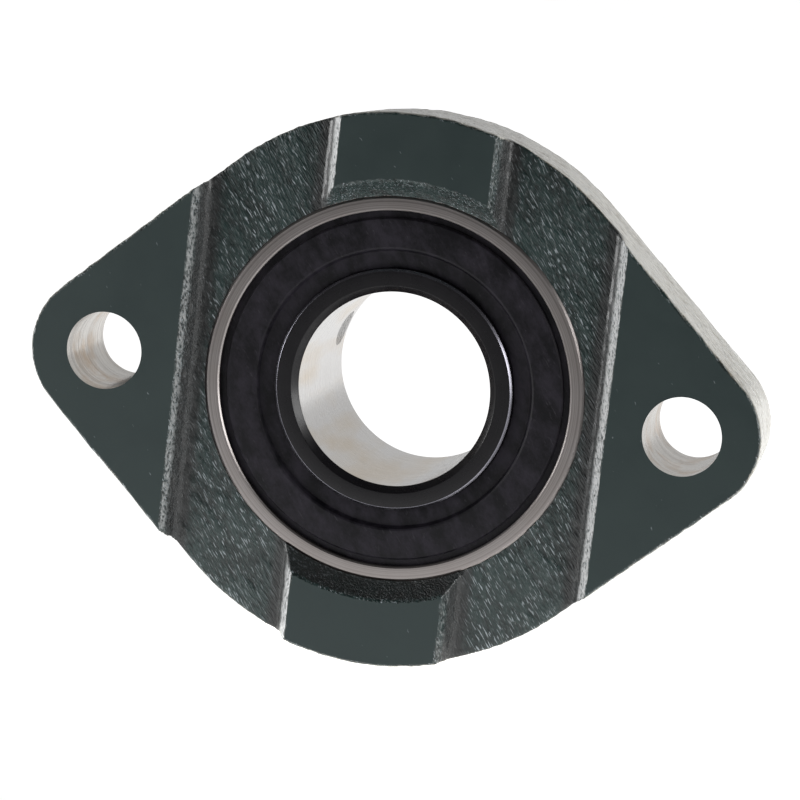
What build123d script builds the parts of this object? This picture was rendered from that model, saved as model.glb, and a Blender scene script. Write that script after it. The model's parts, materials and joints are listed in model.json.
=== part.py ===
from build123d import *
import math
import os

# Two-bolt oval flange unit: a cast housing with a self-aligning, set-screw ball bearing insert.
# The shaft axis is Y. The mounting face is the plane y = 0 and the unit stands on its +Y side,
# so "back" is the mounting side and "front" is the hub side. The bolt holes lie along X, and
# Z is up. The origin is on the shaft axis in the mounting face. Millimetres.

# Housing
BOLT_SPACING = 90.5        # centre to centre, along X
BOLT_HOLE_R = 6.0          # clearance hole for an M10 bolt
EAR_R = 12.0               # outline round each bolt hole
BODY_R = 42.7              # outline round the bearing
FLANGE_T = 18.5
DRAFT_DEG = 1.5            # the side wall narrows towards the front
FLANGE_EDGE_R = 2.0        # rounding of the flange's front edge
HUB_BASE_R = 37.0
HUB_TOP_R = 36.2
HUB_FRONT_Y = 22.5
HUB_ROOT_R = 1.5           # rounding where the hub meets the flange
HUB_EDGE_R = 1.0
POCKET_DEPTH = 3.1         # cast recesses between the four mounting pads
PAD_HALF_TOP = 12.1        # half width of the upper and lower pads at the mounting face
PAD_HALF_FOOT = 14.0       # the same at the pocket floor
EAR_PAD_TOP = 33.7         # where an ear pad starts at the mounting face
EAR_PAD_FOOT = 31.6        # the same at the pocket floor
POCKET_ROOT_R = 0.9        # rounding along the foot of each pad
PAD_DISH_R = 32.2          # the pads slope away from the insert from this radius

# Spherical seat and insert
CENTRE_Y = 12.0            # ball plane and centre of the spherical seat
SEAT_R = 31.0
SEAT_GAP = 0.03
SLOT_W = 18.4              # loading slots, opposite each other along X
SLOT_R = 31.1
INSERT_W = 18.0            # width of the outer ring
RING_EDGE = 0.3            # chamfer on the outer ring's outer corners
INNER_W = 30.0             # width of the inner ring

# Rolling elements
BALL_COUNT = 9
BALL_R = 4.7625
PITCH_R = 23.0
GROOVE_R = 0.52 * 2 * BALL_R
RACE_GAP = 0.02            # radial play between a ball and either raceway

# Rings
BORE_R = 15.0
BORE_CHAMFER = 1.0
INNER_LAND_R = 18.6        # seal land at each end of the ball track
INNER_SHOULDER_R = 20.0
INNER_SHOULDER_HALF = 5.2
COLLAR_R = 20.0            # thick end that holds the set screws
COLLAR_BACK_Y = 21.4
COLLAR_CHAMFER = 0.8
LAND_CHAMFER = 0.35
OUTER_SHOULDER_R = 26.2
OUTER_MOUTH_R = 27.45
OUTER_MOUTH_CHAMFER = 0.25
SEAL_GROOVE_R = 27.85
SEAL_GROOVE_IN = 1.05      # depths below the outer ring's face
SEAL_GROOVE_OUT = 2.15

# Seals, as depths below the outer ring's face
SEAL_FACE_IN = 0.3
SEAL_RIM_R = 26.4
SEAL_STEP_R = 21.2
SEAL_LIP_IN = 1.35
SEAL_BACK_IN = 1.5         # plane between the rubber and its steel core
CORE_T = 0.5
CORE_INNER_R = 20.9
CORE_OUTER_R = 26.9
BEAD_R = 27.8
LIP_TIP_R = INNER_LAND_R + 0.05

# Cage
POCKET_GAP = 0.06
SHEET_T = 0.7
CAGE_HALF_BAND = 1.8
RIVET_R = 0.8
RIVET_HEAD_R = 1.35
RIVET_HEAD_H = 0.55

# Set screws, M6 with a 3 mm hexagon socket, without their threads
SCREW_ANGLES = (162.0, 42.0)   # from +X towards +Z
SCREW_FROM_END = 5.0           # from the front end of the inner ring
SCREW_R = 3.0
SCREW_LENGTH = 6.0
SCREW_HOLE_R = 3.05
SCREW_POINT_R = 1.9
SCREW_CUP_R = 1.4
SCREW_END_CHAMFER = 0.4
SOCKET_FLATS = 3.0
SOCKET_DEPTH = 2.6

BACK_Y = CENTRE_Y - INSERT_W / 2
FRONT_Y = CENTRE_Y + INSERT_W / 2
INNER_END_Y = BACK_Y + INNER_W
SCREW_Y = INNER_END_Y - SCREW_FROM_END
BALL_STEP = 360.0 / BALL_COUNT
REACH = 60.0                   # longer than any cut needs to be

FLANGE_PLANE = Plane(origin=(0, 0, 0), x_dir=(1, 0, 0), z_dir=(0, 1, 0))
BALL_PLANE = Plane(origin=(0, CENTRE_Y, 0), x_dir=(1, 0, 0), z_dir=(0, 1, 0))


def turned(outline):
    """Revolve a closed outline of (radius, y) points about the shaft axis."""
    return revolve(make_face(Polyline(*outline, close=True)), Axis.Y)


def rod(radius, y_from, y_to, x=0.0):
    """A cylinder parallel to the shaft axis."""
    place = Plane(origin=(x, y_from, 0), z_dir=(0, 1, 0))
    return place * Cylinder(radius, y_to - y_from, align=(Align.CENTER, Align.CENTER, Align.MIN))


def ball_centre(index, half_steps=0):
    """Centre of a ball, or of the web after it when half_steps is 1."""
    angle = math.radians(90 + BALL_STEP * (index + half_steps / 2))
    return PITCH_R * math.cos(angle), CENTRE_Y, PITCH_R * math.sin(angle)


def race(bottom_r, outward):
    """The torus that cuts a ball track whose deepest radius is bottom_r."""
    major = bottom_r - GROOVE_R if outward else bottom_r + GROOVE_R
    return BALL_PLANE * Torus(major, GROOVE_R)


def mirrored_front(shape):
    """The same shape on the other side of the ball plane."""
    return mirror(shape, about=BALL_PLANE)


# Housing

def flange_outline():
    circles = [Edge.make_circle(BODY_R)]
    for side in (-1, 1):
        circles.append(Edge.make_circle(EAR_R, Plane(origin=(side * BOLT_SPACING / 2, 0, 0))))
    return make_hull(circles)


def flange():
    plate = extrude(FLANGE_PLANE * flange_outline(), FLANGE_T, taper=DRAFT_DEG)
    return fillet(plate.edges().group_by(Axis.Y)[-1], FLANGE_EDGE_R)


def hub():
    body = turned([(0, 1), (HUB_BASE_R, 1), (HUB_BASE_R, FLANGE_T), (HUB_TOP_R, HUB_FRONT_Y),
                   (0, HUB_FRONT_Y)])
    return fillet(body.edges().group_by(Axis.Y)[-1], HUB_EDGE_R)


def pocket(side):
    """One drafted recess, which crosses the whole back of the flange beside the insert."""
    rise = (PAD_HALF_FOOT - PAD_HALF_TOP) / POCKET_DEPTH
    fall = (EAR_PAD_TOP - EAR_PAD_FOOT) / POCKET_DEPTH
    corners = [(PAD_HALF_TOP - rise, -1), (PAD_HALF_FOOT, POCKET_DEPTH),
               (EAR_PAD_FOOT, POCKET_DEPTH), (EAR_PAD_TOP + fall, -1)]
    section = make_face(Polyline(*[(side * x, y) for x, y in corners], close=True))
    section = fillet(section.vertices().group_by(Axis.Y)[-1], POCKET_ROOT_R)
    return extrude(section, REACH, both=True)


def seat_cut():
    """The spherical seat, with the dish that keeps the pads clear of the insert."""
    floor_r = math.sqrt(SEAT_R**2 - (CENTRE_Y - POCKET_DEPTH)**2)
    dish = turned([(0, -1), (PAD_DISH_R + 0.7, -1), (PAD_DISH_R, 0), (floor_r, POCKET_DEPTH),
                   (0, POCKET_DEPTH)])
    mouth_r = math.sqrt(SEAT_R**2 - (HUB_FRONT_Y - CENTRE_Y)**2)
    mouth = turned([(0, HUB_FRONT_Y - 1), (mouth_r - 0.2, HUB_FRONT_Y - 1),
                    (mouth_r + 1, HUB_FRONT_Y + 0.2), (0, HUB_FRONT_Y + 0.2)])
    return BALL_PLANE * Sphere(SEAT_R) + dish + mouth


def loading_slots():
    """Two slots through which the insert is passed edgeways and then turned into its seat."""
    width = Pos(0, CENTRE_Y, 0) * Box(2 * REACH, REACH, SLOT_W,
                                      align=(Align.CENTER, Align.MIN, Align.CENTER))
    return rod(SLOT_R, CENTRE_Y, HUB_FRONT_Y + 5) & width


def housing():
    body = flange() + hub()
    root = body.edges().filter_by(GeomType.CIRCLE).filter_by_position(
        Axis.Y, FLANGE_T - 0.01, FLANGE_T + 0.01)
    body = fillet([e for e in root if abs(e.radius - HUB_BASE_R) < 0.01], HUB_ROOT_R)
    body -= seat_cut()
    body -= loading_slots()
    for side in (-1, 1):
        body -= pocket(side)
        body -= rod(BOLT_HOLE_R, -1, FLANGE_T + 1, x=side * BOLT_SPACING / 2)
    return body


# Insert rings

def outer_ring():
    slab = rod(REACH, BACK_Y, FRONT_Y)
    body = (BALL_PLANE * Sphere(SEAT_R - SEAT_GAP)) & slab
    corners = body.edges().filter_by(GeomType.CIRCLE)
    body = chamfer(corners, RING_EDGE)
    half_bore = turned([
        (0, CENTRE_Y), (OUTER_SHOULDER_R, CENTRE_Y),
        (OUTER_SHOULDER_R, BACK_Y + SEAL_GROOVE_OUT), (SEAL_GROOVE_R, BACK_Y + SEAL_GROOVE_OUT),
        (SEAL_GROOVE_R, BACK_Y + SEAL_GROOVE_IN), (OUTER_MOUTH_R, BACK_Y + SEAL_GROOVE_IN),
        (OUTER_MOUTH_R, BACK_Y + OUTER_MOUTH_CHAMFER),
        (OUTER_MOUTH_R + OUTER_MOUTH_CHAMFER, BACK_Y),
        (OUTER_MOUTH_R + OUTER_MOUTH_CHAMFER, BACK_Y - 1), (0, BACK_Y - 1)])
    body -= half_bore
    body -= mirrored_front(half_bore)
    return body - race(PITCH_R + BALL_R + RACE_GAP, outward=True)


def inner_ring():
    shoulder_back = CENTRE_Y - INNER_SHOULDER_HALF
    shoulder_front = CENTRE_Y + INNER_SHOULDER_HALF
    body = turned([
        (BORE_R, BACK_Y + BORE_CHAMFER), (BORE_R + BORE_CHAMFER, BACK_Y),
        (INNER_LAND_R - LAND_CHAMFER, BACK_Y), (INNER_LAND_R, BACK_Y + LAND_CHAMFER),
        (INNER_LAND_R, shoulder_back), (INNER_SHOULDER_R, shoulder_back),
        (INNER_SHOULDER_R, shoulder_front), (INNER_LAND_R, shoulder_front),
        (INNER_LAND_R, COLLAR_BACK_Y), (COLLAR_R - LAND_CHAMFER, COLLAR_BACK_Y),
        (COLLAR_R, COLLAR_BACK_Y + LAND_CHAMFER), (COLLAR_R, INNER_END_Y - COLLAR_CHAMFER),
        (COLLAR_R - COLLAR_CHAMFER, INNER_END_Y), (BORE_R + BORE_CHAMFER, INNER_END_Y),
        (BORE_R, INNER_END_Y - BORE_CHAMFER)])
    body -= race(PITCH_R - BALL_R - RACE_GAP, outward=False)
    for angle in SCREW_ANGLES:
        body -= screw_plane(angle) * Cylinder(
            SCREW_HOLE_R, REACH, align=(Align.CENTER, Align.CENTER, Align.MIN))
    return body


# Seals, drawn at the back; the front pair is their mirror image

def seal_rubber():
    face = BACK_Y + SEAL_FACE_IN
    lip = BACK_Y + SEAL_LIP_IN
    joint = BACK_Y + SEAL_BACK_IN
    core_back = joint + CORE_T
    return turned([
        (LIP_TIP_R, lip), (SEAL_STEP_R, lip - 0.15), (SEAL_STEP_R + 0.6, face),
        (SEAL_RIM_R - 0.25, face), (SEAL_RIM_R, face + 0.25),
        (SEAL_RIM_R, BACK_Y + SEAL_GROOVE_IN + 0.05),
        (BEAD_R, BACK_Y + SEAL_GROOVE_IN + 0.05), (BEAD_R, core_back), (CORE_OUTER_R, core_back),
        (CORE_OUTER_R, joint), (CORE_INNER_R, joint), (CORE_INNER_R, core_back),
        (CORE_INNER_R - 0.6, core_back), (LIP_TIP_R, lip + 0.25)])


def seal_core():
    joint = BACK_Y + SEAL_BACK_IN
    return turned([(CORE_INNER_R, joint), (CORE_OUTER_R, joint),
                   (CORE_OUTER_R, joint + CORE_T), (CORE_INNER_R, joint + CORE_T)])


# Balls and their riveted cage

def ball(index):
    return Pos(*ball_centre(index)) * Sphere(BALL_R)


def cage_half():
    """The front half: a flat web between the balls, pressed into a cup over each ball."""
    web = rod(PITCH_R + CAGE_HALF_BAND, CENTRE_Y, CENTRE_Y + SHEET_T)
    cups = [Pos(*ball_centre(i)) * Sphere(BALL_R + POCKET_GAP + SHEET_T) for i in range(BALL_COUNT)]
    band = rod(PITCH_R + CAGE_HALF_BAND, CENTRE_Y, CENTRE_Y + 2 * BALL_R)
    band -= rod(PITCH_R - CAGE_HALF_BAND, CENTRE_Y - 1, CENTRE_Y + 3 * BALL_R)
    half = (web + cups) & band
    for i in range(BALL_COUNT):
        half -= Pos(*ball_centre(i)) * Sphere(BALL_R + POCKET_GAP)
        x, _, z = ball_centre(i, half_steps=1)
        half -= Pos(0, 0, z) * rod(RIVET_R, CENTRE_Y - 1, CENTRE_Y + SHEET_T + 1, x=x)
    return half


def cage_rivet(index):
    """One rivet through both webs, headed on each side."""
    head_y = SHEET_T + RIVET_HEAD_H
    side = [(0, 0), (RIVET_R, 0), (RIVET_R, SHEET_T), (RIVET_HEAD_R, SHEET_T),
            (RIVET_HEAD_R * 0.72, head_y), (0, head_y)]
    front = turned(side)
    rivet = front + mirror(front, about=FLANGE_PLANE)
    return Pos(*ball_centre(index, half_steps=1)) * rivet


# Set screws

def screw_plane(angle):
    """Origin on the shaft axis, with its Z pointing out along a set screw."""
    turn = math.radians(angle)
    return Plane(origin=(0, SCREW_Y, 0), x_dir=(0, 1, 0),
                 z_dir=(math.cos(turn), 0, math.sin(turn)))


def set_screw(angle):
    """Cup point level with the bore, as it stands on a shaft of the bore's size."""
    outline = [(0, SCREW_CUP_R * 0.6), (SCREW_CUP_R, 0), (SCREW_POINT_R, 0),
               (SCREW_R, SCREW_R - SCREW_POINT_R), (SCREW_R, SCREW_LENGTH - SCREW_END_CHAMFER),
               (SCREW_R - SCREW_END_CHAMFER, SCREW_LENGTH), (0, SCREW_LENGTH)]
    body = revolve(Plane.XZ * make_face(Polyline(*outline, close=True)), Axis.Z)
    socket = extrude(RegularPolygon(SOCKET_FLATS / math.sqrt(3), 6), SOCKET_DEPTH)
    body -= Pos(0, 0, SCREW_LENGTH - SOCKET_DEPTH) * socket
    return screw_plane(angle) * Pos(0, 0, BORE_R) * body


def main():
    parts = {
        "housing": housing(),
        "outer_ring": outer_ring(),
        "inner_ring": inner_ring(),
        "seal_back_rubber": seal_rubber(),
        "seal_back_core": seal_core(),
        "seal_front_rubber": mirrored_front(seal_rubber()),
        "seal_front_core": mirrored_front(seal_core()),
        "cage_half_front": cage_half(),
        "cage_half_back": mirrored_front(cage_half()),
        "cage_rivets": Compound(children=[cage_rivet(i) for i in range(BALL_COUNT)]),
    }
    for i in range(BALL_COUNT):
        parts[f"ball_{i + 1}"] = ball(i)
    for i, angle in enumerate(SCREW_ANGLES):
        parts[f"set_screw_{i + 1}"] = set_screw(angle)
    os.makedirs("parts", exist_ok=True)
    for name, shape in parts.items():
        export_step(shape, f"parts/{name}.step")


main()
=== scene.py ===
import json
import math

import bmesh
import bpy
import numpy as np
from mathutils import Matrix, Vector

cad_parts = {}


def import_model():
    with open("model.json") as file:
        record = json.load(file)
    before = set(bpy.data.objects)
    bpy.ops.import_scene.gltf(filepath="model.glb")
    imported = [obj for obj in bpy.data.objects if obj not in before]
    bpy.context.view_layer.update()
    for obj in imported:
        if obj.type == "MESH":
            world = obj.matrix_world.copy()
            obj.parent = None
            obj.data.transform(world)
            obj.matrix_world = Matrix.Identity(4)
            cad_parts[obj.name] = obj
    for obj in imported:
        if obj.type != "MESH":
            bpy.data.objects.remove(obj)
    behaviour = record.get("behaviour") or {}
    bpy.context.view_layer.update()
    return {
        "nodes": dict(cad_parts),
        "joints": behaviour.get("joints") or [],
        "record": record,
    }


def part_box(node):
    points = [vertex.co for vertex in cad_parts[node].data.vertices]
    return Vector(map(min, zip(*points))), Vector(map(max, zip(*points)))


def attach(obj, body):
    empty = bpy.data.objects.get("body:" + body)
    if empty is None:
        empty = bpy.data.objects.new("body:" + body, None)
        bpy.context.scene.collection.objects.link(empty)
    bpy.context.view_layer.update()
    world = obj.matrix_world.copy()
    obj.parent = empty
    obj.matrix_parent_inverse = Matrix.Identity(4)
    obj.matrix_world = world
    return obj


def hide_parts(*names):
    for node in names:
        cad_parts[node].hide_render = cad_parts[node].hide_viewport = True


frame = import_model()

MM = 0.001
TURN = 2 * math.pi
MOUNTS = {m["name"]: m for m in frame["record"]["mounts"]}


def box_mm(node):
    """Lowest and highest corner of a CAD node, in millimetres."""
    low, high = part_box(node)
    return low / MM, high / MM


HOUSING_LOW, HOUSING_HIGH = box_mm("housing")
RING_LOW, RING_HIGH = box_mm("outer_ring")
INNER_HIGH = box_mm("inner_ring")[1]
BALLS = sorted(n for n in frame["nodes"] if n.startswith("ball_"))

# Casting
BOLT_X = MOUNTS["bolt_holes"]["dims"]["spacing_x_mm"] / 2
BOLT_HOLE_R = MOUNTS["bolt_holes"]["dims"]["hole_r_mm"]
EAR_R = HOUSING_HIGH.x - BOLT_X
BODY_R = HOUSING_HIGH.z
HUB_Y = HOUSING_HIGH.y
FLANGE_T = 18.5
DRAFT = math.tan(math.radians(1.5))
BACK_EDGE_R = 0.25
FRONT_EDGE_R = 2.0
HUB_R = 37.0
HUB_TOP_R = 36.2
HUB_ROOT_R = 1.5
CORE_R = 27.0                # rough cored hole, which the machined seat removes
POCKET_DEPTH = 3.1
POCKET_CORNER_R = 0.9
CENTRE_PAD = (12.1, 14.0)    # upper and lower pads: half width at the top and at the foot
EAR_PAD = (33.7, 31.6)       # ear pads: where they start at the top and at the foot
DISH_R = (32.2, 29.69)       # slope from the pads down to the insert
SEAT_R = 31.0
SLOT_W = 18.4
SLOT_R = 31.1

# Insert
BACK_Y = RING_LOW.y
FRONT_Y = RING_HIGH.y
CENTRE_Y = (BACK_Y + FRONT_Y) / 2
INNER_END_Y = INNER_HIGH.y
RING_R = RING_HIGH.x
BORE_R = MOUNTS["shaft_bore"]["dims"]["r_mm"]
COLLAR_R = INNER_HIGH.x
LAND_R = 18.6
SHOULDER_R = 20.0
BALL_R = 4.7625
PITCH_R = 23.0
GROOVE_R = 1.04 * BALL_R
RACE_GAP = 0.02
OUTER_LAND_R = 26.2
OUTER_MOUTH_R = 27.45
SEAL_GROOVE_R = 27.85
SEAL_GROOVE_IN = (1.05, 2.15)    # from the ring's end faces
SEAL_FACE_IN = 0.3
SEAL_LIP_IN = 1.35


# Outlines, as lists of (radius, y) points

def arc(centre, radius, start_deg, end_deg, steps=8):
    """Points along an arc, with both its ends."""
    angles = [math.radians(start_deg + (end_deg - start_deg) * k / steps)
              for k in range(steps + 1)]
    return [(centre[0] + radius * math.cos(t), centre[1] + radius * math.sin(t)) for t in angles]


def rounded(corners, radius, steps=4):
    """A closed outline with each corner rounded by radius, or less beside a short side."""
    points = []
    count = len(corners)
    for i, corner in enumerate(corners):
        here = Vector(corner)
        before = Vector(corners[i - 1]) - here
        after = Vector(corners[(i + 1) % count]) - here
        half = before.angle(after) / 2
        if half > math.radians(80):
            points.append(tuple(here))
            continue
        reach = min(radius / math.tan(half), 0.4 * before.length, 0.4 * after.length)
        start = here + before.normalized() * reach
        end = here + after.normalized() * reach
        for k in range(steps + 1):
            t = k / steps
            points.append(tuple((1 - t)**2 * start + 2 * t * (1 - t) * here + t * t * end))
    return points


def mirrored(points):
    """The same points on the other side of the ball plane, in reverse order."""
    return [(r, 2 * CENTRE_Y - y) for r, y in reversed(points)]


# Meshes

def object_from(name, points_mm, faces):
    """A mesh object with its faces turned outwards, from points in millimetres."""
    mesh = bpy.data.meshes.new(name)
    mesh.from_pydata((np.asarray(points_mm, float) * MM).tolist(), [], faces)
    work = bmesh.new()
    work.from_mesh(mesh)
    bmesh.ops.remove_doubles(work, verts=work.verts, dist=1e-7)
    bmesh.ops.dissolve_degenerate(work, edges=work.edges, dist=1e-8)
    bmesh.ops.recalc_face_normals(work, faces=work.faces)
    work.to_mesh(mesh)
    work.free()
    piece = bpy.data.objects.new(name, mesh)
    bpy.context.scene.collection.objects.link(piece)
    return piece


def loft(name, rings):
    """A closed solid through rings of points, capped at both ends."""
    count = len(rings[0])
    faces = [tuple(range(count)), tuple(range((len(rings) - 1) * count, len(rings) * count))]
    for level in range(len(rings) - 1):
        here, there = level * count, (level + 1) * count
        for k in range(count):
            n = (k + 1) % count
            faces.append((here + k, here + n, there + n, there + k))
    return object_from(name, np.concatenate(rings), faces)


def lathe(name, outline, steps=288):
    """Revolve a closed outline of (radius, y) points about the shaft axis."""
    radii, heights = np.array(outline, float).T
    angles = np.arange(steps) * TURN / steps
    points = np.stack([np.outer(np.cos(angles), radii),
                       np.broadcast_to(heights, (steps, len(heights))),
                       np.outer(np.sin(angles), radii)], -1).reshape(-1, 3)
    count = len(outline)
    faces = []
    for i in range(steps):
        here, there = i * count, (i + 1) % steps * count
        for k in range(count):
            n = (k + 1) % count
            faces.append((here + k, here + n, there + n, there + k))
    return object_from(name, points, faces)


def rod(name, radius, y_from, y_to, x=0.0, steps=128):
    """A solid cylinder parallel to the shaft axis."""
    ring = [(x + radius * math.cos(t), radius * math.sin(t)) for t in
            (TURN * k / steps for k in range(steps))]
    return loft(name, [np.array([(a, y, b) for a, b in ring]) for y in (y_from, y_to)])


def ball(name, centre, radius, steps=192):
    """A sphere with its poles along the shaft axis."""
    rings = []
    for k in range(1, steps // 2):
        turn = math.pi * k / (steps // 2)
        around = np.arange(steps) * TURN / steps
        rings.append(np.stack([centre[0] + radius * math.sin(turn) * np.cos(around),
                               np.full(steps, centre[1] - radius * math.cos(turn)),
                               centre[2] + radius * math.sin(turn) * np.sin(around)], -1))
    return loft(name, rings)


def baked(piece, kind, **settings):
    """Apply one modifier to the piece's mesh."""
    change = piece.modifiers.new(kind.lower(), kind)
    for key, value in settings.items():
        setattr(change, key, value)
    graph = bpy.context.evaluated_depsgraph_get()
    mesh = bpy.data.meshes.new_from_object(piece.evaluated_get(graph))
    old = piece.data
    piece.modifiers.clear()
    piece.data = mesh
    bpy.data.meshes.remove(old)
    return piece


def combine(piece, other, operation="DIFFERENCE"):
    """Cut other away from the piece, or join it on, and delete other."""
    baked(piece, "BOOLEAN", operation=operation, solver="MANIFOLD", object=other)
    mesh = other.data
    bpy.data.objects.remove(other)
    bpy.data.meshes.remove(mesh)
    return piece


def read(items, key, width=3):
    """One value of every vertex or face, as rows of an array."""
    flat = np.empty(len(items) * width, np.float32)
    items.foreach_get(key, flat)
    return flat.reshape(-1, width).astype(float)


def shade(piece, sharp_deg=35):
    """Smooth shading, with edges sharper than sharp_deg kept crisp."""
    mesh = piece.data
    mesh.polygons.foreach_set("use_smooth", np.ones(len(mesh.polygons), bool))
    mesh.set_sharp_from_angle(angle=math.radians(sharp_deg))
    return piece


def crisp_borders(piece, part):
    """Keep the shading of differently finished faces apart."""
    mesh = piece.data
    corner_edges = np.empty(len(mesh.loops), np.int32)
    mesh.loops.foreach_get("edge_index", corner_edges)
    totals = np.empty(len(mesh.polygons), np.int32)
    mesh.polygons.foreach_get("loop_total", totals)
    of_corner = np.repeat(part, totals)
    lowest = np.full(len(mesh.edges), 99)
    highest = np.full(len(mesh.edges), -1)
    np.minimum.at(lowest, corner_edges, of_corner)
    np.maximum.at(highest, corner_edges, of_corner)
    sharp = np.empty(len(mesh.edges), bool)
    mesh.edges.foreach_get("use_edge_sharp", sharp)
    mesh.edges.foreach_set("use_edge_sharp", sharp | (lowest != highest))
    return piece


def smooth_step(low, high, value):
    t = np.clip((value - low) / (high - low), 0, 1)
    return t * t * (3 - 2 * t)


def noise(points, size, seed):
    """Smooth noise from -1 to 1 with lumps about size across."""
    cells = points / size + 1000.0
    base = np.floor(cells).astype(np.int64)
    part = cells - base
    part = part * part * (3 - 2 * part)
    total = np.zeros(len(points))
    for corner in np.ndindex(2, 2, 2):
        at = base + corner
        key = (at[:, 0] * 73856093 ^ at[:, 1] * 19349663 ^ at[:, 2] * 83492791
               ^ seed * 2654435761) & 0xFFFFFFFF
        key = (key ^ (key >> 15)) * 2246822519 & 0xFFFFFFFF
        key = (key ^ (key >> 13)) * 3266489917 & 0xFFFFFFFF
        value = (key ^ (key >> 16)) / 2**31 - 1
        total += value * np.abs(1 - np.array(corner) - part).prod(1)
    return total


# Housing: a rough casting that is then machined

def oval(inset):
    """The flange's outline, moved inwards: circles round the body and both ears, and tangents."""
    lean = math.degrees(math.acos((BODY_R - EAR_R) / BOLT_X))
    body, ear = BODY_R - inset, EAR_R - inset
    return (arc((0, 0), body, lean, 180 - lean, 140)
            + arc((-BOLT_X, 0), ear, 180 - lean, 180 + lean, 60)
            + arc((0, 0), body, 180 + lean, 360 - lean, 140)
            + arc((BOLT_X, 0), ear, -lean, lean, 60))


def flange_blank():
    edge = [(y, inset) for inset, y in
            arc((BACK_EDGE_R, BACK_EDGE_R), BACK_EDGE_R, 270, 180, 6)]
    top = FLANGE_T * DRAFT + FRONT_EDGE_R
    edge += [(y, inset) for inset, y in
             arc((top, FLANGE_T - FRONT_EDGE_R), FRONT_EDGE_R, 180, 90, 10)]
    rings = []
    for y, inset in edge:
        drafted = inset if y > FLANGE_T / 2 else inset + y * DRAFT
        rings.append(np.array([(x, y, z) for x, z in oval(drafted)]))
    return loft("housing_casting", rings)


def hub_blank():
    root = arc((HUB_R + HUB_ROOT_R, FLANGE_T + HUB_ROOT_R), HUB_ROOT_R, 265, 180)
    edge = arc((HUB_TOP_R - 1, HUB_Y - 1), 1, 10, 90)
    foot = FLANGE_T - 3
    return lathe("hub", [(CORE_R, foot), (root[0][0], foot)] + root + edge + [(CORE_R, HUB_Y)])


def pocket(side):
    """A drafted recess that crosses the whole back of the flange beside the insert."""
    out = 1.0
    pad_slope = (CENTRE_PAD[1] - CENTRE_PAD[0]) / POCKET_DEPTH
    ear_slope = (EAR_PAD[0] - EAR_PAD[1]) / POCKET_DEPTH
    section = [(CENTRE_PAD[0] - out * pad_slope, -out), (CENTRE_PAD[1], POCKET_DEPTH),
               (EAR_PAD[1], POCKET_DEPTH), (EAR_PAD[0] + out * ear_slope, -out)]
    section = rounded(section, POCKET_CORNER_R)
    reach = BODY_R + 5
    return loft("pocket", [np.array([(side * x, y, z) for x, y in section])
                           for z in (-reach, reach)])


def dish():
    slope = (DISH_R[0] - DISH_R[1]) / POCKET_DEPTH
    return lathe("dish", [(CORE_R - 2, -1), (DISH_R[0] + slope, -1), (DISH_R[1], POCKET_DEPTH),
                          (CORE_R - 2, POCKET_DEPTH)])


STREAK = Vector((0.59, 0, -0.81))       # the way the sand grain runs


def grain(points):
    """Coordinates squeezed along the streaks, so that lumps in them come out long."""
    way = np.array(STREAK.normalized())
    along = points @ way
    return points - np.outer(along, way) * 0.66


def relief(points):
    """Roughness of the cast skin, from 0 in its pits to 1 on its peaks."""
    drawn = grain(points)
    lumps = (0.22 * noise(points, 5.0, 3) + 0.28 * noise(drawn, 1.3, 5)
             + 0.30 * noise(drawn, 0.75, 7) + 0.20 * noise(drawn, 0.5, 9))
    return np.clip(0.5 + 0.95 * lumps, 0, 1)


ROUGH_MM = 0.2
VOXEL_MM = 0.34
CASTING_FACES = 165000


def casting():
    body = combine(flange_blank(), hub_blank(), "UNION")
    combine(body, rod("core", CORE_R, -5, HUB_Y + 5))
    for side in (-1, 1):
        combine(body, pocket(side))
    combine(body, dish())
    baked(body, "REMESH", mode="VOXEL", voxel_size=VOXEL_MM * MM)
    baked(body, "SMOOTH", factor=0.5, iterations=3)
    mesh = body.data
    points = read(mesh.vertices, "co") / MM
    facing = read(mesh.vertex_normals, "vector")
    pad = (1 - smooth_step(0.02, 0.2, points[:, 1])) * smooth_step(0.9, 0.99, -facing[:, 1])
    depth = ROUGH_MM * (1 - relief(points)) * (1 - pad)
    points -= facing * depth[:, None]
    points[:, 1] = np.where(points[:, 1] < 0.03, 0, points[:, 1])
    mesh.vertices.foreach_set("co", (points * MM).astype(np.float32).ravel())
    mesh.update()
    return baked(body, "DECIMATE", ratio=min(1, CASTING_FACES / (2 * len(mesh.polygons))))


def machined(body):
    """Cut the bolt holes, the spherical seat with its mouth, and the loading slots."""
    for side in (-1, 1):
        combine(body, rod("hole", BOLT_HOLE_R, -5, FLANGE_T + 5, side * BOLT_X, 160))
    combine(body, ball("seat", (0, CENTRE_Y, 0), SEAT_R, 320))
    mouth = math.sqrt(SEAT_R**2 - (HUB_Y - CENTRE_Y)**2)
    combine(body, lathe("mouth", [(CORE_R - 3, HUB_Y - 1), (mouth - 0.2, HUB_Y - 1),
                                  (mouth + 1, HUB_Y + 0.2), (CORE_R - 3, HUB_Y + 0.2)]))
    slot_out = rod("slots", SLOT_R, CENTRE_Y, HUB_Y + 5, steps=320)
    half = SLOT_W / 2
    band = [np.array([(x, y, z) for x, z in ((-60, -half), (60, -half), (60, half), (-60, half))])
            for y in (CENTRE_Y - 2, HUB_Y + 9)]
    combine(slot_out, loft("band", band), "INTERSECT")
    combine(body, slot_out)
    return body


def is_machined(points):
    """Which points lie on the seat, its mouth or a loading slot."""
    x, y, z = points.T
    from_axis = np.hypot(x, z)
    seat = np.abs(np.hypot(from_axis, y - CENTRE_Y) - SEAT_R) < 0.04
    front = (from_axis < SLOT_R + 0.03) & (y > HUB_Y - 1.5)
    slots = (from_axis < SLOT_R + 0.03) & (np.abs(z) < SLOT_W / 2 + 0.03) & (y > CENTRE_Y - 0.1)
    return seat | front | slots


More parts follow.
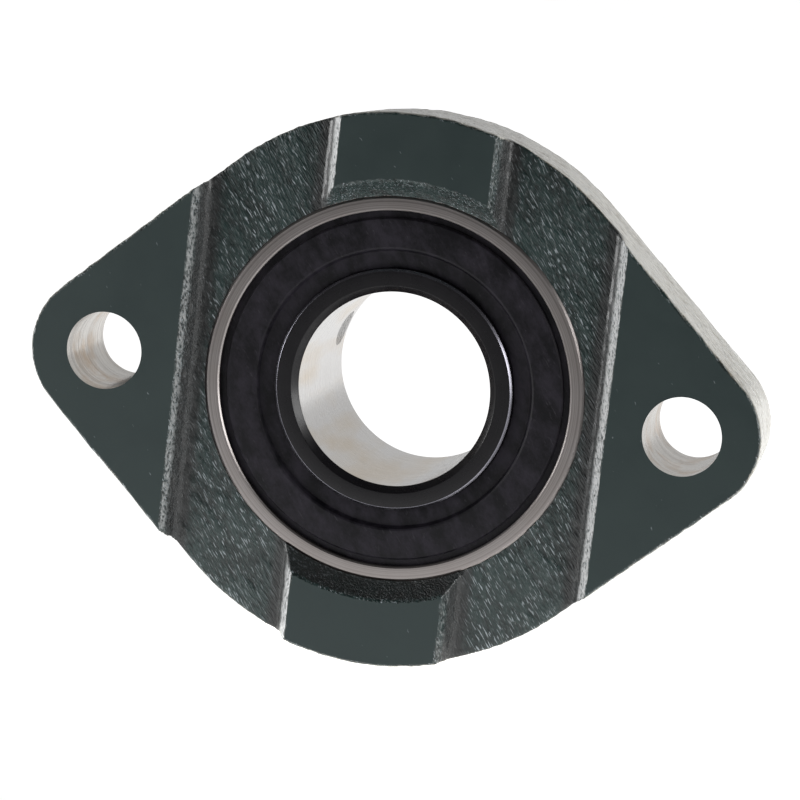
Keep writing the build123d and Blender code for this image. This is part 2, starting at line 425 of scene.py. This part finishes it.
# The side wall's mask, where a painted glare makes the paint pale.
def side_wall(mesh, points):
    """How far each point belongs to the flange's side wall, from 0 to 1."""
    facing = read(mesh.vertex_normals, "vector")
    upright = 1 - smooth_step(0.35, 0.7, np.abs(facing[:, 1]))
    outside = smooth_step(HUB_R + 1.5, HUB_R + 2.5, np.hypot(points[:, 0], points[:, 2]))
    cross = np.maximum(smooth_step(0.25, 0.5, np.abs(facing[:, 2])),
                       smooth_step(40, 42, np.abs(points[:, 0])))
    bolts = np.hypot(np.abs(points[:, 0]) - BOLT_X, points[:, 2]) > BOLT_HOLE_R + 1
    return upright * outside * cross * bolts


def pocket_walls(mesh, points):
    """From 0 to 1: the painted highlight near the top of a pocket's wall, strong on walls facing -X
    and faint on the others, and the painted shade at the pocket feet, low on the walls and on the
    lower dish.
    """
    facing = read(mesh.vertex_normals, "vector")
    x, y = np.abs(points[:, 0]), points[:, 1]
    back = POCKET_DEPTH + 1.9
    wall = smooth_step(0.45, 0.7, np.abs(facing[:, 0])) * smooth_step(0.02, 0.2, y)
    wall *= (x > CENTRE_PAD[0] - 0.6) & (x < EAR_PAD[0] + 0.8) & (np.abs(facing[:, 2]) < 0.45)
    wall *= y < back
    # Painted highlight: a strip down walls facing -X, where the left lamp's light falls, and a faint
    # one at the top edge of walls facing +X.
    faint = np.where(x < 20, 0.12, 0.36) * (1 - smooth_step(0.7, 2.0, y))
    painted_highlight = wall * np.where(facing[:, 0] < 0, 1 - smooth_step(1.6, 2.8, y), faint)
    # Painted shade along the foot of each pocket wall, where shade falls in the corner.
    foot = np.maximum(1 - smooth_step(0.6, 1.9, np.abs(x - CENTRE_PAD[1] - 0.4)),
                      1 - smooth_step(0.6, 1.9, np.abs(x - EAR_PAD[1] + 0.4)))
    foot *= smooth_step(1.1, 2.3, y) * (1 - smooth_step(3.6, 4.2, y))
    # Painted shade also low on the walls that have no painted highlight.
    painted_shade = np.maximum(foot, wall * (1 - painted_highlight) * smooth_step(0.8, 1.6, y))
    # Painted shade on the dish wall below the insert, darker from how light falls there.
    dish_below = (points[:, 2] < -20) & (x < CENTRE_PAD[1]) & (y < back)
    dish_below &= np.hypot(x, points[:, 2]) < DISH_R[0] - 0.1
    return painted_highlight, np.maximum(painted_shade, 0.9 * dish_below)


def housing():
    body = machined(casting())
    mesh = body.data
    points = read(mesh.vertices, "co") / MM
    painted_highlight, painted_shade = pocket_walls(mesh, points)
    # Of these attributes only relief is the cast skin's own shape; side, and the two from the pocket
    # walls, carry painted glare, painted highlight and painted shade.
    for name, values in (("relief", relief(points)), ("side", side_wall(mesh, points)),
                         ("painted_highlight", painted_highlight), ("painted_shade", painted_shade)):
        skin = mesh.attributes.new(name, "FLOAT", "POINT")
        skin.data.foreach_set("value", values.astype(np.float32))
    centres = read(mesh.polygons, "center") / MM
    facing = read(mesh.polygons, "normal")
    pads = (centres[:, 1] < 0.01) & (facing[:, 1] < -0.99)
    bolts = np.hypot(np.abs(centres[:, 0]) - BOLT_X, centres[:, 2]) < BOLT_HOLE_R + 0.03
    part = np.where(pads, 1, np.where(bolts, 2, np.where(is_machined(centres), 3, 0)))
    mesh.materials.clear()
    for finish in (cast_paint(), pad_paint(), drilled_iron(), bored_iron()):
        mesh.materials.append(finish)
    mesh.polygons.foreach_set("material_index", part.astype(np.int32))
    body.name = mesh.name = "housing_casting"
    return crisp_borders(shade(body, 38), part)


# Insert

def track(bottom_r, shoulder_r, outward):
    """A ball track's profile, from the back shoulder through the ball plane to the front one."""
    if outward:
        centre_r, middle, way = bottom_r - GROOVE_R, 0, 1
    else:
        centre_r, middle, way = bottom_r + GROOVE_R, 180, -1
    half = math.degrees(math.acos(abs(shoulder_r - centre_r) / GROOVE_R)) * way
    return arc((centre_r, CENTRE_Y), GROOVE_R, middle - half, middle + half, 24)


def outer_ring():
    slant = math.degrees(math.asin((CENTRE_Y - BACK_Y - 0.3) / RING_R))
    near, far = (BACK_Y + depth for depth in SEAL_GROOVE_IN)
    back = [(OUTER_LAND_R, far), (SEAL_GROOVE_R, far), (SEAL_GROOVE_R, near),
            (OUTER_MOUTH_R, near), (OUTER_MOUTH_R, BACK_Y + 0.25),
            (OUTER_MOUTH_R + 0.25, BACK_Y), (29.33, BACK_Y)]
    back += arc((0, CENTRE_Y), RING_R, -slant, -1, 12)
    groove = track(PITCH_R + BALL_R + RACE_GAP, OUTER_LAND_R, True)
    outline = back + mirrored(back) + groove[::-1]
    piece = lathe("insert_outer_ring", rounded(outline, 0.08))
    piece.data.materials.append(ground_steel())
    return shade(piece)


def inner_ring():
    bottom, front = BACK_Y + 0.35, INNER_END_Y
    shoulder, collar = 5.2, FRONT_Y + 0.4
    outline = [(BORE_R + 1, BACK_Y), (LAND_R - 0.35, BACK_Y), (LAND_R, bottom),
               (LAND_R, CENTRE_Y - shoulder), (SHOULDER_R, CENTRE_Y - shoulder)]
    outline += track(PITCH_R - BALL_R - RACE_GAP, SHOULDER_R, False)
    outline += [(SHOULDER_R, CENTRE_Y + shoulder), (LAND_R, CENTRE_Y + shoulder), (LAND_R, collar),
                (COLLAR_R - 0.35, collar), (COLLAR_R, collar + 0.35),
                (COLLAR_R, front - 0.8), (COLLAR_R - 0.8, front),
                (BORE_R + 1, front), (BORE_R, front - 1)]
    outline += [(BORE_R, y) for y in np.linspace(front - 2, BACK_Y + 2, 27)]
    outline.append((BORE_R, BACK_Y + 1))
    piece = lathe("insert_inner_ring", rounded(outline, 0.16))
    for screw in SCREWS:
        combine(piece, screw_hole(screw))
    mesh = piece.data
    centres = read(mesh.polygons, "center") / MM
    from_axis = np.hypot(centres[:, 0], centres[:, 2])
    inside = (from_axis < BORE_R + 0.01) & (centres[:, 1] > BACK_Y + 0.8)
    tracks = (np.abs(centres[:, 1] - CENTRE_Y) < 5) & (from_axis < SHOULDER_R + 0.01)
    slope = np.abs(read(mesh.polygons, "normal")[:, 1])
    edges = ((slope > 0.25) & (slope < 0.97) & (from_axis > LAND_R - 0.5)
             & (centres[:, 1] < BACK_Y + 0.5))
    mesh.materials.clear()
    for finish in (black_oxide(), bore_steel(), worn_oxide()):
        mesh.materials.append(finish)
    part = np.where(inside | tracks, 1, np.where(edges, 2, 0))
    mesh.polygons.foreach_set("material_index", part.astype(np.int32))
    return shade(piece)


def seal_rubber(name, front):
    face, lip, core = BACK_Y + SEAL_FACE_IN, BACK_Y + SEAL_LIP_IN, BACK_Y + 1.5
    outline = [(LAND_R + 0.05, lip), (20.6, lip - 0.12), (21.2, lip - 0.15), (21.6, face + 0.12),
               (21.9, face), (26.15, face), (26.4, face + 0.25), (26.4, BACK_Y + 1.1),
               (27.8, BACK_Y + 1.1), (27.8, core + 0.5), (26.9, core + 0.5), (26.9, core),
               (20.9, core), (20.9, core + 0.5), (20.3, core + 0.5), (LAND_R + 0.05, lip + 0.25)]
    outline = rounded(outline, 0.1)
    piece = lathe(name, mirrored(outline) if front else outline)
    piece.data.materials.append(seal_nitrile())
    return shade(piece)


# Set screws

SCREWS = ("set_screw_1", "set_screw_2")
SCREW_R = 3.0
SCREW_LENGTH = 6.0
SCREW_PITCH = 1.0
THREAD_H = 0.55
SCREW_HOLE_R = 3.05
HOLE_MOUTH_R = 5.45
SOCKET_FLATS = 3.0
SOCKET_DEPTH = 2.6


def stood_in(piece, screw):
    """Turn a piece drawn along Z to stand along that screw's travel, from the bore outwards."""
    travel = next(j for j in frame["joints"] if j["child"] == screw)
    outwards = -Vector(travel["axis"])
    low, high = box_mm(SCREWS[0])
    across = Vector((0, 1, 0))
    side = across.cross(outwards)
    turn = Matrix((across, side, outwards)).transposed().to_4x4()
    move = Matrix.Translation((outwards * BORE_R + across * (low.y + high.y) / 2) * MM)
    piece.data.transform(move @ turn)
    return piece


def screw_hole(screw):
    """What a screw's hole takes from the collar, with a chamfered mouth."""
    wall = COLLAR_R - BORE_R
    rings = []
    for level, radius in ((-6, SCREW_HOLE_R), (wall - 0.4, SCREW_HOLE_R), (wall + 2, HOLE_MOUTH_R)):
        rings.append(np.array([(radius * math.cos(t), radius * math.sin(t), level)
                               for t in (TURN * k / 96 for k in range(96))]))
    return stood_in(loft("screw_hole", rings), screw)


def set_screw(screw):
    """A hexagon socket set screw with a cup point and a rolled thread."""
    steps, rows = 72, 120
    rings = [np.array([(r * math.cos(t), r * math.sin(t), h)
                       for t in (TURN * k / steps for k in range(steps))])
             for r, h in ((0.25, 0.85), (0.9, 0.5), (1.4, 0.06), (1.5, 0), (1.85, 0))]
    for row in range(1, rows):
        height = SCREW_LENGTH * row / rows
        ring = []
        for k in range(steps):
            phase = (height / SCREW_PITCH - k / steps) % 1
            flank = min(abs(2 * phase - 1) * 1.45, 1)
            limit = min(1.9 + height, SCREW_R - 0.45 + (SCREW_LENGTH - height))
            radius = min(SCREW_R - THREAD_H * flank, limit)
            turn = TURN * k / steps
            ring.append((radius * math.cos(turn), radius * math.sin(turn), height))
        rings.append(np.array(ring))
    top = SCREW_R - 0.5
    rings.append(np.array([(top * math.cos(t), top * math.sin(t), SCREW_LENGTH)
                           for t in (TURN * k / steps for k in range(steps))]))
    piece = loft(screw + "_threaded", rings)
    corner = SOCKET_FLATS / math.sqrt(3)
    levels = ((0.15, -SOCKET_DEPTH - 0.45), (corner * 0.8, -SOCKET_DEPTH),
              (corner, -SOCKET_DEPTH + 0.1), (corner, -0.2), (corner + 0.3, 0.1))
    socket = [np.array([(r * math.cos(t), r * math.sin(t), SCREW_LENGTH + h)
                        for t in (TURN * k / 6 for k in range(6))]) for r, h in levels]
    combine(piece, loft("socket", socket))
    piece.data.materials.clear()
    piece.data.materials.append(screw_steel())
    return shade(stood_in(piece, screw), 30)


# Finishes. Noise sizes are in millimetres, and depths of bumps too.

def node(tree, kind, inputs=None, **settings):
    """A shader node, with each input set to a value or linked to a socket."""
    made = tree.nodes.new("ShaderNode" + kind)
    for key, value in settings.items():
        setattr(made, key, value)
    for key, value in (inputs or {}).items():
        if isinstance(value, bpy.types.NodeSocket):
            tree.links.new(value, made.inputs[key])
        else:
            made.inputs[key].default_value = value
    return made


class Finish:
    """A material with one Principled shader and what drives it."""

    def __init__(self, name, **sockets):
        self.material = bpy.data.materials.new(name)
        self.material.use_nodes = True
        self.tree = self.material.node_tree
        self.shader = self.tree.nodes["Principled BSDF"]
        self.where = node(self.tree, "TexCoord").outputs["Object"]
        self.heights = []
        for key, value in sockets.items():
            self.shader.inputs[key.replace("_", " ")].default_value = value

    def noise(self, size, detail=3.0, roughness=0.55, where=None):
        return node(self.tree, "TexNoise", {
            "Vector": where or self.where, "Scale": 1 / (size * MM), "Detail": detail,
            "Roughness": roughness}).outputs[0]

    def stretched(self, scale, turn_deg=0.0):
        """Coordinates turned about Y, then stretched by scale."""
        return node(self.tree, "Mapping", {
            "Vector": self.where, "Rotation": (0, math.radians(turn_deg), 0),
            "Scale": scale}, vector_type="TEXTURE").outputs[0]

    def around_axis(self):
        """Coordinates that stay the same round the shaft axis, for turned and ground marks."""
        flat = node(self.tree, "VectorMath", {0: self.where, 1: (1, 0, 1)},
                    operation="MULTIPLY").outputs[0]
        distance = node(self.tree, "VectorMath", {0: flat}, operation="LENGTH").outputs["Value"]
        along = node(self.tree, "SeparateXYZ", {0: self.where}).outputs[1]
        return node(self.tree, "CombineXYZ", {0: distance, 1: along}).outputs[0]

    def attribute(self, name):
        return node(self.tree, "Attribute", attribute_name=name).outputs["Fac"]

    def maths(self, operation, first, second=0.5):
        return node(self.tree, "Math", {0: first, 1: second}, operation=operation).outputs[0]

    def spread(self, value, low, high, to_low=0.0, to_high=1.0):
        """Map low..high to another range, and keep it inside."""
        return node(self.tree, "MapRange", {
            "Value": value, "From Min": low, "From Max": high, "To Min": to_low,
            "To Max": to_high}, clamp=True).outputs[0]

    def mix(self, amount, first, second):
        """Mix two colours, each a triple or a socket."""
        blend = node(self.tree, "Mix", data_type="RGBA")
        for socket, value in ((0, amount), (6, first), (7, second)):
            if isinstance(value, tuple):
                value = (*value, 1)
            if isinstance(value, bpy.types.NodeSocket):
                self.tree.links.new(value, blend.inputs[socket])
            else:
                blend.inputs[socket].default_value = value
        return blend.outputs[2]

    def drive(self, key, value):
        self.tree.links.new(value, self.shader.inputs[key])

    def bump(self, height, depth_mm, strength=1.0):
        """Add one layer of bump."""
        inputs = {"Height": height, "Distance": depth_mm * MM, "Strength": strength}
        if self.heights:
            inputs["Normal"] = self.heights[-1]
        self.heights.append(node(self.tree, "Bump", inputs).outputs[0])
        self.drive("Normal", self.heights[-1])


PAINT = (0.015, 0.037, 0.035)
# The dark end of the cast skin's tone, so also the painted shade in its pits.
PAINT_DARK = (0.003, 0.011, 0.010)
# Painted shade colour for the pocket feet, the lower walls and the lower dish.
PAINT_SHADE = (0.017, 0.016, 0.0165)
# Painted glint colour on the cast skin, also the dust flecks on the pads.
PAINT_GLINT_AND_DUST = (0.40, 0.45, 0.48)
# Painted highlight colour for the pocket-wall strips, also used for a few flecks of wear.
PAINT_HIGHLIGHT_AND_WEAR = (0.78, 0.79, 0.79)
# Painted glare colours for the side wall, light and dim: the backlight's glare on the green paint
# painted in as colour.
PAINT_SIDE_GLARE = (0.88, 0.86, 0.78)
PAINT_SIDE_GLARE_DIM = (0.52, 0.475, 0.385)
STREAK_TURN = math.degrees(math.atan2(-STREAK.z, STREAK.x))


def cast_paint():
    """Glossy paint on the rough sand-cast skin, with painted glare that makes it pale round the sides,
    painted highlight strips on the pocket walls' edges, painted glints, and painted shade at the
    pocket feet.
    """
    skin = Finish("cast_paint", IOR=1.45, Coat_Weight=0.55, Coat_Roughness=0.14, Coat_IOR=1.5)
    drawn = skin.stretched((3.6, 1, 1), STREAK_TURN)
    height = skin.attribute("relief")
    fine = skin.noise(0.36, 2, 0.5, drawn)
    # The tone is partly random and partly the relief, so the pits get painted shade and the peaks a
    # painted highlight.
    tone = skin.maths("ADD", skin.maths("MULTIPLY", height, 0.35), skin.maths("MULTIPLY", fine, 0.65))
    colour = skin.mix(skin.spread(tone, 0.36, 0.56), PAINT_DARK, PAINT)
    # Painted highlight: the pocket-wall strips take this whitish colour, and a few random flecks of
    # the fine grain take it as wear.
    worn = skin.mix(skin.spread(fine, 0.30, 0.50), PAINT, PAINT_HIGHLIGHT_AND_WEAR)
    highlight_and_wear = skin.maths("ADD", skin.attribute("painted_highlight"), skin.maths("MULTIPLY", fine, 0.9))
    colour = skin.mix(skin.spread(highlight_and_wear, 0.55, 1.25), colour, worn)
    # Painted glare: the side wall is painted pale cream with dim flecks, in place of the backlight's
    # glare on the green paint.
    pale = skin.mix(skin.spread(tone, 0.34, 0.48), PAINT_SIDE_GLARE_DIM, PAINT_SIDE_GLARE)
    colour = skin.mix(skin.attribute("side"), colour, pale)
    # Painted glints: short pale streaks along the grain, thicker in some patches, painted into the
    # colour.
    glints = skin.noise(0.2, 1, 0.4, skin.stretched((7.5, 1, 1), STREAK_TURN))
    thick = skin.spread(skin.noise(4.0, 2, 0.5, drawn), 0.35, 0.65, 0.25, 1.0)
    bright = skin.maths("MULTIPLY", skin.spread(glints, 0.61, 0.68), thick)
    colour = skin.mix(bright, colour, PAINT_GLINT_AND_DUST)
    # Painted shade: the pocket feet, lower walls and lower dish are darkened towards this colour.
    painted_shade = skin.maths("MULTIPLY", skin.attribute("painted_shade"), 0.8)
    colour = skin.mix(painted_shade, colour, PAINT_SHADE)
    skin.drive("Base Color", colour)
    skin.drive("Roughness", skin.spread(skin.noise(1.2, 2), 0.3, 0.7, 0.3, 0.45))
    skin.bump(fine, 0.34)
    skin.bump(glints, 0.16)
    return skin.material


def pad_paint():
    """The same paint over the flat mounting pads, with faint brush marks and dust."""
    skin = Finish("pad_paint")
    patches = skin.noise(9.0, 4, 0.6)
    colour = skin.mix(skin.spread(patches, 0.3, 0.7), (0.016, 0.031, 0.031), (0.021, 0.038, 0.037))
    specks = skin.noise(0.5, 2, 0.5, skin.stretched((3, 1, 1), STREAK_TURN))
    skin.drive("Base Color", skin.mix(skin.spread(specks, 0.72, 0.8, 0, 0.5), colour, PAINT_GLINT_AND_DUST))
    skin.drive("Roughness", skin.spread(patches, 0.3, 0.7, 0.46, 0.58))
    skin.bump(skin.noise(0.9, 3, 0.55), 0.012)
    return skin.material


def drilled_iron():
    """Bare drilled iron with tool marks round the hole and a little rust."""
    skin = Finish("drilled_iron", Metallic=1.0)
    marks = skin.noise(0.16, 2, 0.5, skin.stretched((60, 1, 60)))
    stain = skin.noise(6.0, 4, 0.6)
    colour = skin.mix(skin.spread(stain, 0.5, 0.68, 0, 0.8), (0.56, 0.54, 0.51), (0.42, 0.31, 0.21))
    colour = skin.mix(skin.spread(marks, 0.5, 0.7, 0, 0.5), colour, (0.22, 0.19, 0.17))
    skin.drive("Base Color", colour)
    skin.drive("Roughness", skin.spread(marks, 0.3, 0.7, 0.24, 0.42))
    skin.bump(marks, 0.02)
    return skin.material


def bored_iron():
    """The bored seat: dark oiled iron."""
    skin = Finish("bored_iron", Metallic=1.0)
    marks = skin.noise(0.2, 2, 0.5, skin.around_axis())
    colour = skin.mix(skin.spread(marks, 0.35, 0.7), (0.10, 0.10, 0.10), (0.2, 0.19, 0.18))
    skin.drive("Base Color", colour)
    skin.shader.inputs["Roughness"].default_value = 0.4
    skin.bump(marks, 0.01)
    return skin.material


def ground_steel():
    """Bearing steel, turned and ground in fine circles."""
    skin = Finish("ground_bearing_steel", Metallic=1.0)
    marks = skin.noise(0.16, 3, 0.65, skin.around_axis())
    cloud = skin.noise(7.0, 3)
    colour = skin.mix(skin.spread(marks, 0.35, 0.7), (0.24, 0.22, 0.215), (0.42, 0.39, 0.38))
    colour = skin.mix(skin.spread(cloud, 0.4, 0.7, 0, 0.3), colour, (0.27, 0.235, 0.215))
    skin.drive("Base Color", colour)
    skin.drive("Roughness", skin.spread(marks, 0.3, 0.7, 0.26, 0.42))
    skin.bump(marks, 0.008)
    return skin.material


def black_oxide():
    """Blackened steel: turned in circles, with a bluish sheen."""
    skin = Finish("black_oxide_steel", Specular_IOR_Level=0.38)
    marks = skin.noise(0.11, 3, 0.6, skin.around_axis())
    colour = skin.mix(skin.spread(marks, 0.35, 0.75), (0.003, 0.0026, 0.0038), (0.009, 0.008, 0.0105))
    skin.drive("Base Color", colour)
    skin.drive("Roughness", skin.spread(skin.noise(2.5, 3), 0.3, 0.7, 0.22, 0.34))
    skin.bump(marks, 0.004)
    return skin.material


def worn_oxide():
    """The same finish polished by handling along the chamfers."""
    skin = Finish("worn_oxide_steel", Metallic=1.0)
    marks = skin.noise(0.15, 3, 0.6, skin.around_axis())
    colour = skin.mix(skin.spread(marks, 0.3, 0.7), (0.15, 0.15, 0.18), (0.34, 0.33, 0.37))
    skin.drive("Base Color", colour)
    skin.drive("Roughness", skin.spread(skin.noise(2.5, 3), 0.3, 0.7, 0.2, 0.34))
    return skin.material


def bore_steel():
    """The honed bore and ball track: bright, with fine marks round them and tan streaks along the
    axis, a painted reflection.
    """
    skin = Finish("honed_steel", Metallic=1.0)
    marks = skin.noise(0.12, 3, 0.6, skin.stretched((40, 1, 40)))
    # Painted reflection: tan streaks along the axis, standing in for a reflection in the bore.
    tan_reflection = skin.noise(7.0, 3, 0.5, skin.stretched((1, 4, 1)))
    colour = skin.mix(skin.spread(tan_reflection, 0.48, 0.66, 0, 0.8), (0.55, 0.54, 0.53), (0.50, 0.43, 0.34))
    skin.drive("Base Color", colour)
    skin.drive("Roughness", skin.spread(marks, 0.3, 0.7, 0.2, 0.34))
    skin.bump(marks, 0.004)
    return skin.material


def seal_nitrile():
    """Moulded black rubber with a faint violet cast, mottled by handling."""
    skin = Finish("seal_nitrile", Specular_IOR_Level=0.25)
    drawn = skin.stretched((1.8, 1, 1), STREAK_TURN)
    mottle = skin.noise(2.6, 6, 0.72, drawn)
    colour = skin.mix(skin.spread(mottle, 0.40, 0.64), (0.0030, 0.0026, 0.0046), (0.021, 0.018, 0.026))
    lint = skin.noise(0.35, 2, 0.5, skin.stretched((4, 1, 1), STREAK_TURN))
    colour = skin.mix(skin.spread(lint, 0.66, 0.8, 0, 0.4), colour, (0.07, 0.065, 0.075))
    skin.drive("Base Color", colour)
    skin.drive("Roughness", skin.spread(mottle, 0.3, 0.7, 0.4, 0.62))
    skin.bump(mottle, 0.05)
    skin.bump(skin.noise(0.25, 2), 0.008)
    return skin.material


def screw_steel():
    """Black oxide, worn bare here and there."""
    skin = Finish("screw_black_oxide")
    worn = skin.noise(0.6, 4, 0.6)
    colour = skin.mix(skin.spread(worn, 0.5, 0.75), (0.008, 0.008, 0.009), (0.05, 0.05, 0.05))
    skin.drive("Base Color", colour)
    skin.drive("Roughness", skin.spread(worn, 0.3, 0.7, 0.28, 0.45))
    skin.bump(worn, 0.01)
    return skin.material


def pressed_steel():
    """Cold-rolled sheet, drawn in the press."""
    skin = Finish("pressed_sheet_steel", Metallic=1.0)
    drawn = skin.noise(0.3, 3, 0.6, skin.stretched((8, 1, 1)))
    colour = skin.mix(skin.spread(drawn, 0.3, 0.7), (0.46, 0.46, 0.45), (0.62, 0.61, 0.59))
    skin.drive("Base Color", colour)
    skin.drive("Roughness", skin.spread(drawn, 0.3, 0.7, 0.28, 0.42))
    skin.bump(drawn, 0.005)
    return skin.material


def ball_steel():
    """Lapped chrome steel with a trace of grease."""
    skin = Finish("lapped_ball_steel", Metallic=1.0)
    smear = skin.noise(2.0, 3)
    colour = skin.mix(skin.spread(smear, 0.45, 0.7), (0.80, 0.80, 0.81), (0.66, 0.64, 0.58))
    skin.drive("Base Color", colour)
    skin.drive("Roughness", skin.spread(smear, 0.3, 0.7, 0.05, 0.16))
    return skin.material


# Assembly

def stand_for(piece, body, slot, *nodes):
    """The piece moves with its body, in place of those CAD nodes."""
    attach(piece, body)
    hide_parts(*nodes)


stand_for(housing(), "housing", "housing_paint", "housing")
stand_for(outer_ring(), "outer", "ground_steel", "outer_ring")
stand_for(inner_ring(), "inner", "blackened_steel", "inner_ring")
stand_for(seal_rubber("seal_back_moulding", False), "outer", "seal_rubber", "seal_back_rubber")
stand_for(seal_rubber("seal_front_moulding", True), "outer", "seal_rubber", "seal_front_rubber")
for screw in SCREWS:
    stand_for(set_screw(screw), screw, "screw_steel", screw)

PRESSED = ("seal_back_core", "seal_front_core", "cage_half_back", "cage_half_front", "cage_rivets")
for finish, names in ((ball_steel(), BALLS), (pressed_steel(), PRESSED)):
    for name in names:
        frame["nodes"][name].data.materials.clear()
        frame["nodes"][name].data.materials.append(finish)


# Floor, lights and camera, in metres

FLOOR_Z = HOUSING_LOW.z * MM
AIM = Vector((0.002, 0.0, -0.0008))


def floor():
    """A white table that glows, a painted light: its glow is graded down in front of the object as
    painted shade.
    """
    mesh = bpy.data.meshes.new("floor")
    reach = 8.0
    mesh.from_pydata([(-reach, -reach, FLOOR_Z), (reach, -reach, FLOOR_Z),
                      (reach, reach, FLOOR_Z), (-reach, reach, FLOOR_Z)], [], [(0, 1, 2, 3)])
    piece = bpy.data.objects.new("floor", mesh)
    bpy.context.scene.collection.objects.link(piece)
    skin = Finish("floor_white", Roughness=0.9)
    skin.shader.inputs["Base Color"].default_value = (0.9, 0.9, 0.9, 1)
    skin.shader.inputs["Specular IOR Level"].default_value = 0.0
    skin.shader.inputs["Emission Color"].default_value = (1, 1, 1, 1)
    # Painted light: the floor glows at 0.94 behind and under the object and fades to 0.16 in front of
    # it.
    ahead = node(skin.tree, "VectorMath", {0: skin.where, 1: (0.1, -1.0, 0)},
                 operation="DOT_PRODUCT").outputs["Value"]
    skin.drive("Emission Strength", skin.spread(ahead, 0.075, 0.16, 0.94, 0.16))
    mesh.materials.append(skin.material)


def softbox(name, place, width, height, radiance):
    """A rectangular lamp facing the object, whose face has that brightness."""
    lamp = bpy.data.lights.new(name, "AREA")
    lamp.shape, lamp.size, lamp.size_y = "RECTANGLE", width, height
    lamp.energy = radiance * math.pi * width * height
    held = bpy.data.objects.new(name, lamp)
    held.location = place
    held.rotation_mode = "QUATERNION"
    held.rotation_quaternion = (AIM - Vector(place)).to_track_quat("-Z", "Y")
    held.visible_camera = False
    bpy.context.scene.collection.objects.link(held)


def world(strength):
    sky = bpy.data.worlds.new("studio")
    sky.use_nodes = True
    back = sky.node_tree.nodes["Background"]
    back.inputs["Color"].default_value = (1, 1, 1, 1)
    back.inputs["Strength"].default_value = strength
    bpy.context.scene.world = sky


def camera():
    lens = bpy.data.cameras.new("camera")
    lens.lens, lens.sensor_width = 152.5, 36
    held = bpy.data.objects.new("camera", lens)
    azimuth, elevation, roll = math.radians(11.70), math.radians(9.77), math.radians(6.53)
    back = Vector((math.sin(azimuth) * math.cos(elevation),
                   -math.cos(azimuth) * math.cos(elevation), math.sin(elevation)))
    held.location = AIM + back * 0.5139
    held.rotation_mode = "QUATERNION"
    level = (-back).to_track_quat("-Z", "Y").to_matrix().to_4x4()
    held.rotation_quaternion = (level @ Matrix.Rotation(roll, 4, "Z")).to_quaternion()
    bpy.context.scene.collection.objects.link(held)
    bpy.context.scene.camera = held


floor()
world(0.07)
softbox("backdrop", (0.5, 1.6, 0.55), 2.6, 1.4, 0.65)
softbox("left", (-0.42, -0.12, 0.01), 0.4, 0.1, 8.0)
softbox("right", (0.6, -0.2, 0.15), 0.3, 0.3, 6.0)
camera()

scene = bpy.context.scene
scene.view_settings.view_transform = "Standard"
scene.cycles.use_denoising = True
